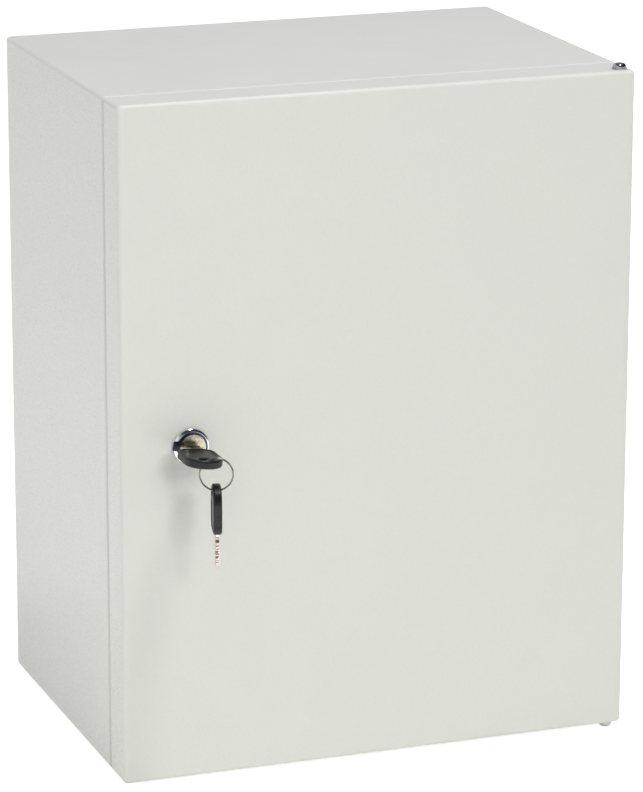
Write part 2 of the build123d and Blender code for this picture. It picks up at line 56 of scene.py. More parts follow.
def screen(red: float, green: float, blue: float) -> Rgb:
    """The linear colour of a screen colour.

    Args:
        red: Red, from 0 to 255.
        green: Green, from 0 to 255.
        blue: Blue, from 0 to 255.

    Returns:
        The linear red, green and blue, each from 0 to 1.
    """
    def linear(value: float) -> float:
        """One channel."""
        share = value / 255
        return share / 12.92 if share <= 0.04045 else ((share + 0.055) / 1.055) ** 2.4

    return linear(red), linear(green), linear(blue)


# Shader nodes


class NodeBench:
    """Adds nodes to one shader tree and links them."""

    def __init__(self, tree: bpy.types.NodeTree) -> None:
        """Start on a tree.

        Args:
            tree: The tree that the nodes go into.
        """
        self.tree = tree
        self.column = 0

    def add(self, kind: str, values: dict | None = None, **settings: object) -> bpy.types.Node:
        """Add one node.

        Args:
            kind: The node's type name.
            values: Input name or number to a plain value or to the socket that feeds it.
            settings: Attributes of the node.

        Returns:
            The new node.
        """
        node = self.tree.nodes.new(kind)
        node.location = (200 * self.column, -60 * (self.column % 4))
        self.column += 1
        for name, setting in settings.items():
            setattr(node, name, setting)
        for name, value in (values or {}).items():
            if isinstance(value, bpy.types.NodeSocket):
                self.tree.links.new(value, node.inputs[name])
            elif isinstance(value, tuple) and node.inputs[name].type == "RGBA":
                node.inputs[name].default_value = (*value, 1.0)
            else:
                node.inputs[name].default_value = value
        return node

    def math(self, operation: str, first: object, second: object,
             third: object | None = None) -> bpy.types.NodeSocket:
        """Work out a number.

        Args:
            operation: The math node's operation.
            first: A number or socket.
            second: A number or socket.
            third: A number or socket, where the operation takes three.

        Returns:
            The socket of the result.
        """
        values = {0: first, 1: second}
        if third is not None:
            values[2] = third
        return self.add("ShaderNodeMath", values, operation=operation).outputs[0]

    def between(self, value: object, low: float, high: float, to_low: float,
                to_high: float) -> bpy.types.NodeSocket:
        """Map a value from one range to another, clamped, and return its socket."""
        values = {"Value": value, "From Min": low, "From Max": high, "To Min": to_low, "To Max": to_high}
        return self.add("ShaderNodeMapRange", values).outputs["Result"]

    def mix(self, share: object, first: object, second: object, blend: str = "MIX") -> bpy.types.NodeSocket:
        """Mix two colours and return the socket of the result."""
        node = self.add("ShaderNodeMix", {0: share, 6: first, 7: second}, data_type="RGBA", blend_type=blend)
        return node.outputs[2]

    def noise(self, place: object, size: object, detail: float,
              roughness: float = 0.5) -> bpy.types.NodeSocket:
        """Noise over a place, at a scale per metre, as a number's socket."""
        values = {"Vector": place, "Scale": size, "Detail": detail, "Roughness": roughness}
        return self.add("ShaderNodeTexNoise", values).outputs[0]

    def place(self) -> bpy.types.NodeSocket:
        """The place on the object, in metres of the row frame."""
        return self.add("ShaderNodeTexCoord").outputs["Object"]


class SocketKind(Enum):
    """Kinds of socket that a shared effect has."""

    NUMBER = "NodeSocketFloat"
    COLOUR = "NodeSocketColor"
    VECTOR = "NodeSocketVector"


@dataclass(frozen=True)
class Effect:
    """A shader node group with named sockets, built once and placed in each material.

    Attributes:
        name: The group's name.
        inputs: Name, kind and starting value of each input.
        outputs: Name and kind of each output.
        wire: Fills the group and returns its outputs by name.
    """

    name: str
    inputs: tuple[tuple[str, SocketKind, object], ...]
    outputs: tuple[tuple[str, SocketKind], ...]
    wire: Callable[[NodeBench, bpy.types.Node], dict]

    def tree(self) -> bpy.types.NodeTree:
        """The group's tree, built when it is first asked for.

        Returns:
            The tree.
        """
        tree = bpy.data.node_groups.get(self.name)
        if tree is not None:
            return tree
        tree = bpy.data.node_groups.new(self.name, "ShaderNodeTree")
        for name, kind, start in self.inputs:
            socket = tree.interface.new_socket(name=name, in_out="INPUT", socket_type=kind.value)
            socket.default_value = (*start, 1.0) if kind is SocketKind.COLOUR else start
        for name, kind in self.outputs:
            tree.interface.new_socket(name=name, in_out="OUTPUT", socket_type=kind.value)
        bench = NodeBench(tree)
        inlet = bench.add("NodeGroupInput")
        results = self.wire(bench, inlet)
        bench.add("NodeGroupOutput", results)
        return tree

    def put(self, bench: NodeBench, **values: object) -> bpy.types.Node:
        """Place the group in a material.

        Args:
            bench: The material's bench.
            values: Input names, with _ for a space, to values or sockets.

        Returns:
            The group's node.
        """
        node = bench.add("ShaderNodeGroup", node_tree=self.tree())
        for name, value in values.items():
            socket = node.inputs[name.replace("_", " ")]
            if isinstance(value, bpy.types.NodeSocket):
                bench.tree.links.new(value, socket)
            else:
                socket.default_value = (*value, 1.0) if socket.type == "RGBA" else value
        return node


SKIN_OUTPUTS = (
    ("Color", SocketKind.COLOUR),
    ("Roughness", SocketKind.NUMBER),
    ("Height", SocketKind.NUMBER),
)

MOTTLE_PER_METRE = 5.0
FINE_MOTTLE_PER_METRE = 160.0
SLOW_MOTTLE_SHARE = 0.75
GRIT_TO_PEEL = 3.7
GRIT_HEIGHT = 0.35
GLOSS_SWING = 0.06


def wire_powder(bench: NodeBench, inlet: bpy.types.Node) -> dict:
    """Powder coat: slow mottling of two tones, fine orange peel, and specks of other gloss.

    Args:
        bench: The group's bench.
        inlet: The group's input node.

    Returns:
        The group's outputs by name.
    """
    place = bench.place()
    slow = bench.noise(place, MOTTLE_PER_METRE, 3.0, 0.6)
    fine = bench.noise(place, FINE_MOTTLE_PER_METRE, 4.0, 0.6)
    slow = bench.between(slow, 0.32, 0.68, 0.0, SLOW_MOTTLE_SHARE)
    share = bench.math("ADD", slow, bench.between(fine, 0.3, 0.7, 0.0, 1.0 - SLOW_MOTTLE_SHARE))
    colour = bench.mix(share, inlet.outputs["Paint"], inlet.outputs["Tone"])
    peel = bench.noise(place, inlet.outputs["Peel Scale"], 2.0, 0.45)
    grit_scale = bench.math("MULTIPLY", inlet.outputs["Peel Scale"], GRIT_TO_PEEL)
    grit = bench.noise(place, grit_scale, 2.0, 0.5)
    height = bench.math("MULTIPLY_ADD", grit, GRIT_HEIGHT, peel)
    swing = bench.between(grit, 0.3, 0.7, -GLOSS_SWING, GLOSS_SWING)
    gloss = bench.math("ADD", inlet.outputs["Base Roughness"], swing)
    return {"Color": colour, "Roughness": gloss, "Height": height}


POWDER = Effect(
    "powder_coat",
    (
        ("Paint", SocketKind.COLOUR, (0.7, 0.7, 0.65)),
        ("Tone", SocketKind.COLOUR, (0.68, 0.68, 0.63)),
        ("Peel Scale", SocketKind.NUMBER, 700.0),
        ("Base Roughness", SocketKind.NUMBER, 0.45),
    ),
    SKIN_OUTPUTS,
    wire_powder,
)


# Settled dust on up-facing faces; its colour also paints those faces darker as painted shade.
DUST_AND_SHADE_PATCHES_PER_METRE = 14.0
DUST_AND_SHADE_LEAST = 0.45
DUST_ROUGHENS = 0.3
UP_FROM, UP_FULL = 0.35, 0.95


def wire_dust_and_shade(bench: NodeBench, inlet: bpy.types.Node) -> dict:
    """A thin film of settled dust on faces that look up, with painted shade: its colour also makes up-facing
    faces darker.

    Args:
        bench: The group's bench.
        inlet: The group's input node.

    Returns:
        The group's outputs by name.
    """
    normal = bench.add("ShaderNodeNewGeometry").outputs["Normal"]
    up = bench.add("ShaderNodeSeparateXYZ", {0: normal}).outputs["Z"]
    facing = bench.between(up, UP_FROM, UP_FULL, 0.0, 1.0)
    patches = bench.noise(bench.place(), DUST_AND_SHADE_PATCHES_PER_METRE, 5.0, 0.65)
    patches = bench.between(patches, 0.3, 0.75, DUST_AND_SHADE_LEAST, 1.0)
    share = bench.math("MULTIPLY", bench.math("MULTIPLY", facing, patches), inlet.outputs["Amount"])
    # Mix in the dust colour: settled dust plus painted shade on faces that look up.
    colour = bench.mix(share, inlet.outputs["Under"], inlet.outputs["Dust"])
    gloss = bench.math("MULTIPLY_ADD", share, DUST_ROUGHENS, inlet.outputs["Under Roughness"])
    return {"Color": colour, "Roughness": gloss}


DUST_AND_SHADE = Effect(
    "settled_dust",
    (
        ("Under", SocketKind.COLOUR, (0.7, 0.7, 0.65)),
        ("Dust", SocketKind.COLOUR, (0.6, 0.6, 0.6)),
        ("Amount", SocketKind.NUMBER, 0.3),
        ("Under Roughness", SocketKind.NUMBER, 0.45),
    ),
    (("Color", SocketKind.COLOUR), ("Roughness", SocketKind.NUMBER)),
    wire_dust_and_shade,
)


CLOUDS_PER_METRE = 45.0
CLOUD_TONE = 0.5
STREAK_LIGHT, STREAK_DARK = -0.15, 0.25
STREAK_ROUGHENS = 0.14
TARNISH_ROUGHENS = 0.08
SPANGLE_HEIGHT = 0.3


def wire_metal(bench: NodeBench, inlet: bpy.types.Node) -> dict:
    """Bare or plated metal: drawn streaks, crystal spangle and a cloudy tarnish.

    Args:
        bench: The group's bench.
        inlet: The group's input node.

    Returns:
        The group's outputs by name.
    """
    place = bench.place()
    drawn = bench.add("ShaderNodeVectorMath", {0: place, 1: inlet.outputs["Streaks"]}, operation="MULTIPLY")
    streak = bench.noise(drawn.outputs[0], 1.0, 3.0, 0.6)
    cells = bench.add("ShaderNodeTexVoronoi", {"Vector": place, "Scale": inlet.outputs["Spangle Scale"]})
    cell_tone = bench.add("ShaderNodeSeparateXYZ", {0: cells.outputs["Color"]}).outputs["X"]
    cloud = bench.noise(place, CLOUDS_PER_METRE, 4.0, 0.6)
    tone = bench.math("MULTIPLY", cell_tone, inlet.outputs["Spangle"])
    tone = bench.math("ADD", tone, bench.between(cloud, 0.35, 0.7, 0.0, CLOUD_TONE))
    tone = bench.math("ADD", tone, bench.between(streak, 0.35, 0.65, STREAK_LIGHT, STREAK_DARK))
    colour = bench.mix(tone, inlet.outputs["Metal"], inlet.outputs["Tarnish"])
    swing = bench.between(streak, 0.3, 0.7, -0.5, 0.5)
    rough = bench.math("MULTIPLY_ADD", swing, STREAK_ROUGHENS, inlet.outputs["Base Roughness"])
    rough = bench.math("MULTIPLY_ADD", tone, TARNISH_ROUGHENS, rough)
    spangle_height = bench.math("MULTIPLY", inlet.outputs["Spangle"], SPANGLE_HEIGHT)
    height = bench.math("MULTIPLY_ADD", cell_tone, spangle_height, streak)
    return {"Color": colour, "Roughness": rough, "Height": height}


METAL = Effect(
    "plated_metal",
    (
        ("Metal", SocketKind.COLOUR, (0.7, 0.7, 0.7)),
        ("Tarnish", SocketKind.COLOUR, (0.5, 0.5, 0.5)),
        ("Streaks", SocketKind.VECTOR, (900.0, 900.0, 900.0)),
        ("Spangle", SocketKind.NUMBER, 0.0),
        ("Spangle Scale", SocketKind.NUMBER, 120.0),
        ("Base Roughness", SocketKind.NUMBER, 0.3),
    ),
    SKIN_OUTPUTS,
    wire_metal,
)


RUBBED_PER_METRE = 220.0
RUBBED_MOST = 0.8
RUBBED_POLISHES = -0.1
GRAIN_ROUGHENS = 0.12
PORE_REACH = 0.45
# Near-black colour painted into the pores as painted shade in their hollows.
PORE_SHADE_COLOUR: Rgb = (0.004, 0.004, 0.004)


def wire_mould(bench: NodeBench, inlet: bpy.types.Node) -> dict:
    """Moulded plastic, rubber or foam: fine grain or pores, and slightly rubbed patches; the pores are sunk
    in the bump and painted near black as painted shade.

    Args:
        bench: The group's bench.
        inlet: The group's input node.

    Returns:
        The group's outputs by name.
    """
    place = bench.place()
    grain = bench.noise(place, inlet.outputs["Grain Scale"], 3.0, 0.6)
    pores = bench.add("ShaderNodeTexVoronoi", {"Vector": place, "Scale": inlet.outputs["Grain Scale"]})
    pore = bench.between(pores.outputs["Distance"], 0.0, PORE_REACH, 1.0, 0.0)
    pore = bench.math("MULTIPLY", pore, inlet.outputs["Pores"])
    rubbed = bench.noise(place, RUBBED_PER_METRE, 3.0, 0.6)
    rubbed = bench.between(rubbed, 0.42, 0.7, 0.0, RUBBED_MOST)
    colour = bench.mix(rubbed, inlet.outputs["Body"], inlet.outputs["Rubbed"])
    # Painted shade: the pores' hollows are coloured near black.
    colour = bench.mix(pore, colour, PORE_SHADE_COLOUR)
    rough = bench.math("MULTIPLY_ADD", rubbed, RUBBED_POLISHES, inlet.outputs["Base Roughness"])
    swing = bench.between(grain, 0.3, 0.7, -0.5, 0.5)
    rough = bench.math("MULTIPLY_ADD", swing, GRAIN_ROUGHENS, rough)
    height = bench.math("SUBTRACT", grain, pore)
    return {"Color": colour, "Roughness": rough, "Height": height}


MOULD = Effect(
    "moulded_skin",
    (
        ("Body", SocketKind.COLOUR, (0.02, 0.02, 0.02)),
        ("Rubbed", SocketKind.COLOUR, (0.04, 0.04, 0.04)),
        ("Grain Scale", SocketKind.NUMBER, 3000.0),
        ("Pores", SocketKind.NUMBER, 0.0),
        ("Base Roughness", SocketKind.NUMBER, 0.45),
    ),
    SKIN_OUTPUTS,
    wire_mould,
)


GROOVE_REACH = 0.25


def wire_thread(bench: NodeBench, inlet: bpy.types.Node) -> dict:
    """Screw thread as ridges across an axis, with a mask of the grooves that materials fill with painted
    shade.

    Args:
        bench: The group's bench.
        inlet: The group's input node.

    Returns:
        The group's outputs by name.
    """
    ends = {0: bench.place(), 1: inlet.outputs["Axis"]}
    along = bench.add("ShaderNodeVectorMath", ends, operation="DOT_PRODUCT")
    turns = bench.math("DIVIDE", along.outputs["Value"], inlet.outputs["Pitch"])
    ridge = bench.math("PINGPONG", turns, 0.5)
    groove = bench.between(ridge, 0.0, GROOVE_REACH, 1.0, 0.0)
    return {"Height": bench.math("MULTIPLY", ridge, 2.0), "Groove": groove}


THREAD = Effect(
    "screw_thread",
    (("Axis", SocketKind.VECTOR, (0.0, 1.0, 0.0)), ("Pitch", SocketKind.NUMBER, 0.001)),
    (("Height", SocketKind.NUMBER), ("Groove", SocketKind.NUMBER)),
    wire_thread,
)


# Finishes


def new_material(name: str) -> tuple[bpy.types.Material, NodeBench, bpy.types.Node]:
    """An empty material with its shader and output.

    Args:
        name: The material's name.

    Returns:
        The material, the bench on its tree, and its shader node.
    """
    material = bpy.data.materials.new(name)
    material.use_nodes = True
    material.node_tree.nodes.clear()
    bench = NodeBench(material.node_tree)
    shader = bench.add("ShaderNodeBsdfPrincipled")
    bench.add("ShaderNodeOutputMaterial", {"Surface": shader.outputs[0]})
    return material, bench, shader


def join_up(bench: NodeBench, shader: bpy.types.Node, colour: bpy.types.NodeSocket,
            roughness: bpy.types.NodeSocket, height: bpy.types.NodeSocket, depth: float) -> None:
    """Feed a shader's colour, roughness and normal.

    Args:
        bench: The material's bench.
        shader: The material's shader.
        colour: Feeds Base Color.
        roughness: Feeds Roughness.
        height: Feeds a bump.
        depth: The height's real depth in metres.
    """
    bump = bench.add("ShaderNodeBump", {"Height": height, "Distance": depth, "Strength": 1.0})
    bench.tree.links.new(colour, shader.inputs["Base Color"])
    bench.tree.links.new(roughness, shader.inputs["Roughness"])
    bench.tree.links.new(bump.outputs["Normal"], shader.inputs["Normal"])


@dataclass(frozen=True)
class PowderPaint:
    """Baked powder paint on sheet steel."""

    paint: Rgb
    tone: Rgb
    # Colour of settled dust and of painted shade on up-facing faces.
    dust: Rgb
    dust_and_shade_amount: float
    roughness: float = 0.29
    peel_per_metre: float = 620.0
    peel_depth: float = 0.08 * MM
    specular: float = 0.3

    def material(self, name: str) -> bpy.types.Material:
        """Build the material.

        Args:
            name: The material's name.

        Returns:
            The new material.
        """
        material, bench, shader = new_material(name)
        coat = POWDER.put(bench, Paint=self.paint, Tone=self.tone, Peel_Scale=self.peel_per_metre,
                          Base_Roughness=self.roughness)
        # Settled dust plus painted shade darken the faces that look up.
        film = DUST_AND_SHADE.put(bench, Under=coat.outputs["Color"], Dust=self.dust, Amount=self.dust_and_shade_amount,
                        Under_Roughness=coat.outputs["Roughness"])
        join_up(bench, shader, film.outputs["Color"], film.outputs["Roughness"], coat.outputs["Height"],
                self.peel_depth)
        shader.inputs["Specular IOR Level"].default_value = self.specular
        return material


@dataclass(frozen=True)
class MetalFinish:
    """Bare, plated or polished metal, with a thread where a pitch is given, and painted shade in the thread's
    grooves.
    """

    metal: Rgb
    tarnish: Rgb
    roughness: float
    streaks: Xyz = (700.0, 700.0, 700.0)
    spangle: float = 0.0
    spangle_per_metre: float = 120.0
    grain_depth: float = 0.004 * MM
    thread_axis: Xyz = (0.0, 1.0, 0.0)
    thread_pitch: float = 0.0
    thread_depth: float = 0.4 * MM
    groove_shade: float = 0.7
    # Colour of the painted shade in the thread's grooves.
    groove_shade_colour: Rgb = (0.03, 0.03, 0.03)

    def material(self, name: str) -> bpy.types.Material:
        """Build the material.

        Args:
            name: The material's name.

        Returns:
            The new material.
        """
        material, bench, shader = new_material(name)
        grain = METAL.put(bench, Metal=self.metal, Tarnish=self.tarnish, Streaks=self.streaks,
                          Spangle=self.spangle, Spangle_Scale=self.spangle_per_metre,
                          Base_Roughness=self.roughness)
        colour, height, depth = grain.outputs["Color"], grain.outputs["Height"], self.grain_depth
        if self.thread_pitch > 0:
            thread = THREAD.put(bench, Axis=self.thread_axis, Pitch=self.thread_pitch)
            # Painted shade: the thread's grooves are coloured darker, as shade in the grooves.
            shade = bench.math("MULTIPLY", thread.outputs["Groove"], self.groove_shade)
            colour = bench.mix(shade, colour, self.groove_shade_colour)
            height, depth = thread.outputs["Height"], self.thread_depth
        join_up(bench, shader, colour, grain.outputs["Roughness"], height, depth)
        shader.inputs["Metallic"].default_value = 1.0
        return material


@dataclass(frozen=True)
class MouldedFinish:
    """Plastic, rubber or foam out of a mould."""

    body: Rgb
    rubbed: Rgb
    roughness: float
    grain_per_metre: float = 3000.0
    pores: float = 0.0
    grain_depth: float = 0.02 * MM
    specular: float = 0.5

    def material(self, name: str) -> bpy.types.Material:
        """Build the material.

        Args:
            name: The material's name.

        Returns:
            The new material.
        """
        material, bench, shader = new_material(name)
        skin = MOULD.put(bench, Body=self.body, Rubbed=self.rubbed, Grain_Scale=self.grain_per_metre,
                         Pores=self.pores, Base_Roughness=self.roughness)
        join_up(bench, shader, skin.outputs["Color"], skin.outputs["Roughness"], skin.outputs["Height"],
                self.grain_depth)
        shader.inputs["Specular IOR Level"].default_value = self.specular
        return material


class Finish(Enum):
    """The finishes of this cabinet, by the place they are used."""

    # The paint's dust colour and amount also paint the top faces darker, as painted shade.
    PAINT = PowderPaint(screen(220, 221, 213), screen(217, 218, 211), screen(212, 212, 213), 0.7)
    ZINC_SHEET = MetalFinish(screen(190, 194, 198), screen(170, 174, 178), 0.4, spangle=0.4,
                             streaks=(60.0, 60.0, 260.0))
    ZINC_PART = MetalFinish(screen(206, 208, 208), screen(150, 152, 154), 0.3)
    ZINC_THREAD_Y = MetalFinish(screen(206, 208, 208), screen(150, 152, 154), 0.3, thread_pitch=1.0 * MM)
    ZINC_THREAD_Z = MetalFinish(screen(206, 208, 208), screen(150, 152, 154), 0.3,
                                thread_pitch=0.8 * MM, thread_axis=(0.0, 0.0, 1.0))
    HINGE_STEEL = MetalFinish(screen(166, 168, 172), screen(104, 106, 110), 0.2)
    CHROME = MetalFinish(screen(236, 238, 242), screen(206, 210, 216), 0.08)
    NICKEL = MetalFinish(screen(196, 192, 166), screen(138, 132, 106), 0.2)
    BLADE = MetalFinish(screen(226, 215, 208), screen(168, 157, 149), 0.34,
                        streaks=(300.0, 300.0, 1500.0))
    DARK_STEEL = MetalFinish(screen(66, 72, 86), screen(42, 46, 56), 0.3)
    RING = MetalFinish(screen(132, 130, 124), screen(74, 72, 68), 0.22)
    CAM = MetalFinish(screen(200, 198, 188), screen(150, 146, 132), 0.33,
                      streaks=(900.0, 900.0, 120.0))
    BOW = MouldedFinish(screen(22, 22, 23), screen(42, 42, 43), 0.34, grain_per_metre=1600.0, specular=0.3)
    FOAM = MouldedFinish(screen(44, 44, 46), screen(60, 60, 62), 0.85, grain_per_metre=900.0,
                         pores=0.8, grain_depth=0.25 * MM)
    RUBBER = MouldedFinish(screen(34, 34, 36), screen(50, 50, 52), 0.6, grain_per_metre=1500.0,
                           grain_depth=0.04 * MM)

    def material(self) -> bpy.types.Material:
        """The finish's material, built when it is first used.

        Returns:
            The material.
        """
        name = "finish_" + self.name.lower()
        found = bpy.data.materials.get(name)
        return found if found is not None else self.value.material(name)


def dress(finish: Finish, *nodes: str) -> None:
    """Give CAD nodes a finish.

    Args:
        finish: The finish.
        nodes: Names of the nodes.
    """
    for name in nodes:
        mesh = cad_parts[name].data
        mesh.materials.clear()
        mesh.materials.append(finish.material())
        log.info("%s has finish %s", name, finish.name)


# Meshes


def add_piece(name: str, vertices: Points, faces: Sequence[Sequence[int]], finish: Finish,
              body: str) -> bpy.types.Object:
    """Make a smooth piece that rides on a body.

    Args:
        name: The piece's name.
        vertices: Its points in the row frame, in metres.
        faces: Its faces.
        finish: Its finish.
        body: The CAD body it moves with.

    Returns:
        The new object.
    """
    mesh = bpy.data.meshes.new(name)
    mesh.from_pydata([tuple(v) for v in vertices], [], [tuple(f) for f in faces])
    mesh.validate()
    mesh.polygons.foreach_set("use_smooth", [True] * len(mesh.polygons))
    mesh.materials.append(finish.material())
    piece = bpy.data.objects.new(name, mesh)
    bpy.context.scene.collection.objects.link(piece)
    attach(piece, body)
    log.info("%s: %d faces, rides on %s", name, len(mesh.polygons), body)
    return piece


END_TAPER = 0.55


def tube(path: Points, radius: float, sides: int = 12) -> tuple[Points, list[tuple[int, ...]]]:
    """A round wire along an open path, with capped ends.

    Args:
        path: Points along the wire's middle.
        radius: The wire's radius.
        sides: Points round the wire.

    Returns:
        Vertices and faces.
    """
    vertices: Points = []
    faces: list[tuple[int, ...]] = []
    side = Vector((0, 0, 1))
    for index, point in enumerate(path):
        ahead = path[min(index + 1, len(path) - 1)] - path[max(index - 1, 0)]
        ahead.normalize()
        side = (side - ahead * side.dot(ahead)).normalized()
        up = ahead.cross(side)
        taper = END_TAPER if index in (0, len(path) - 1) else 1.0
        for step in range(sides):
            turn = 2 * math.pi * step / sides
            vertices.append(point + (side * math.cos(turn) + up * math.sin(turn)) * radius * taper)
    for index in range(len(path) - 1):
        for step in range(sides):
            low, high = index * sides, (index + 1) * sides
            following = (step + 1) % sides
            faces.append((low + step, low + following, high + following, high + step))
    faces.append(tuple(reversed(range(sides))))
    faces.append(tuple(range((len(path) - 1) * sides, len(path) * sides)))
    return vertices, faces


def rounded_loop(half_width: float, half_height: float, corner: float,
                 arc_steps: int = 10) -> list[tuple[Vector, Vector]]:
    """Points round a rectangle with round corners, each with its outward direction.

    Args:
        half_width: Half the width along x.
        half_height: Half the height along z.
        corner: The corner's radius.
        arc_steps: Steps round each corner.

    Returns:
        Pairs of place and outward direction, in the plane y = 0.
    """
    pairs = []
    for quarter in range(4):
        start = quarter * math.pi / 2
        sign_x = 1 if quarter in (0, 3) else -1
        sign_z = 1 if quarter in (0, 1) else -1
        middle = Vector((sign_x * (half_width - corner), 0, sign_z * (half_height - corner)))
        for step in range(arc_steps + 1):
            turn = start + math.pi / 2 * step / arc_steps
            outward = Vector((math.cos(turn), 0, math.sin(turn)))
            pairs.append((middle + outward * corner, outward))
    return pairs


# The cabinet


@dataclass
class Cabinet:
    """Folded body, back panel, and the hinges that stand on it."""

    hinge_ends: tuple[str, ...] = ("top", "bottom")
    hinge_pieces: tuple[str, ...] = ("bracket", "screw", "washer", "spacer")

    def dress(self) -> None:
        """Paint the sheet and plate the hinges."""
        dress(Finish.PAINT, "body_shell", "back_panel")
        for end in self.hinge_ends:
            dress(Finish.HINGE_STEEL, *(f"hinge_{piece}_{end}" for piece in self.hinge_pieces))


@dataclass
class Fittings:
    """Mounting plate, cable plate and earth points inside the body and on the door."""

    def dress(self) -> None:
        """Plate the fittings."""
        dress(Finish.ZINC_SHEET, "mounting_panel", "gland_plate")
        dress(Finish.ZINC_PART, "panel_washers", "panel_nuts", "gland_nuts", "body_earth_washer",
              "body_earth_nut", "door_earth_washer", "door_earth_nut")
        dress(Finish.ZINC_THREAD_Y, "panel_studs", "body_earth_stud", "door_earth_stud")
        dress(Finish.ZINC_THREAD_Z, "gland_studs")
        dress(Finish.RUBBER, "gland_gasket")


@dataclass
class Door:
    """The pan door and the foam bead on its inside."""

    bead_half_width: float = 5.0 * MM
    bead_height: float = 5.0 * MM
    bead_outer_corner: float = 16.0 * MM
    bead_squareness: float = 0.6
    section_steps: int = 12

    def dress(self) -> None:
        """Paint the pan."""
        dress(Finish.PAINT, "door_panel")

    def build_seal(self) -> None:
        """Build the poured foam bead, domed where the solid is square."""
        low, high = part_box("door_seal")
        middle = (low + high) / 2
        half = (high - low) / 2
        corner = self.bead_outer_corner - self.bead_half_width
        loop = rounded_loop(half.x - self.bead_half_width, half.z - self.bead_half_width, corner)
        vertices: Points = []
        for place, outward in loop:
            for step in range(self.section_steps + 1):
                turn = math.pi * step / self.section_steps
                across = math.cos(turn) * self.bead_half_width
                rise = math.sin(turn) ** self.bead_squareness * self.bead_height
                vertices.append(place + outward * across + Vector((middle.x, low.y + rise, middle.z)))
        width = self.section_steps + 1
        count = len(loop)
        faces = []
        for index in range(count):
            here, following = index * width, (index + 1) % count * width
            for step in range(self.section_steps):
                faces.append((here + step, here + step + 1, following + step + 1, following + step))
            last = self.section_steps
            faces.append((here + last, here, following, following + last))
        seal = add_piece("foam_bead", vertices, faces, Finish.FOAM, "door")
        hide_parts("door_seal")


@dataclass
class Lock:
    """The cam lock: bezel, plug, dust shutter, nut and cam."""

    def dress(self) -> None:
        """Finish the lock's pieces."""
        dress(Finish.CHROME, "lock_housing", "lock_nut")
        dress(Finish.NICKEL, "lock_plug")
        dress(Finish.DARK_STEEL, "lock_shutter")
        dress(Finish.RUBBER, "lock_seal")
        dress(Finish.CAM, "lock_cam", "cam_washer", "cam_screw")


@dataclass
class Keys:
    """The key in the lock and the spare on the ring."""

    def dress(self) -> None:
        """Finish blades and bows."""
        dress(Finish.BLADE, "key_blade", "spare_key_blade")
        dress(Finish.BOW, "key_bow", "spare_key_bow")


@dataclass
class KeyRing:
    """Two turns of spring wire that step over each other once."""

    radius: float = 9.3 * MM
    wire_radius: float = 0.45 * MM
    side_step: float = 0.4 * MM
    azimuth: float = math.radians(20)
    steps_per_turn: int = 96
    steps_left_open: int = 4
    wire_start: float = math.radians(35)
    step_over: float = math.radians(22)

    def build(self) -> None:
        """Build the coil in place of the two closed turns."""
        low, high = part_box("key_ring")
        middle = (low + high) / 2
        across = Vector((math.cos(self.azimuth), -math.sin(self.azimuth), 0))
        towards = Vector((-math.sin(self.azimuth), -math.cos(self.azimuth), 0))
        path: Points = []
        count = 2 * self.steps_per_turn - self.steps_left_open
        for step in range(count + 1):
            turn = self.wire_start + 2 * math.pi * step / self.steps_per_turn
            past_first = (turn - self.wire_start - 2 * math.pi) / self.step_over
            share = min(max(0.5 + past_first / 2, 0.0), 1.0)
            share = share * share * (3 - 2 * share)
            offset = self.side_step * (2 * share - 1)
            radial = across * math.cos(turn) + Vector((0, 0, math.sin(turn)))
            path.append(middle + radial * self.radius + towards * offset)
        vertices, faces = tube(path, self.wire_radius)
        ring = add_piece("ring_coil", vertices, faces, Finish.RING, "ring")
        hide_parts("key_ring")


# The studio


@dataclass(frozen=True)
class Lamp:
    """One square soft light.

    Attributes:
        name: The lamp's name.
        place: Where it hangs, in metres.
        aim: What it looks at.
        side: Its side in metres.
        watts: Its power.
        glints: Whether glossy surfaces mirror it.
    """

    name: str
    place: Xyz
    aim: Xyz
    side: float
    watts: float
    glints: bool = False

    def hang(self) -> None:
        """Put the lamp into the scene."""
        data = bpy.data.lights.new(self.name, "AREA")
        data.size = self.side
        data.energy = self.watts
        lamp = bpy.data.objects.new(self.name, data)
        lamp.location = self.place
        lamp.rotation_euler = (Vector(self.aim) - Vector(self.place)).to_track_quat("-Z", "Y").to_euler()
        lamp.visible_glossy = self.glints
        bpy.context.scene.collection.objects.link(lamp)


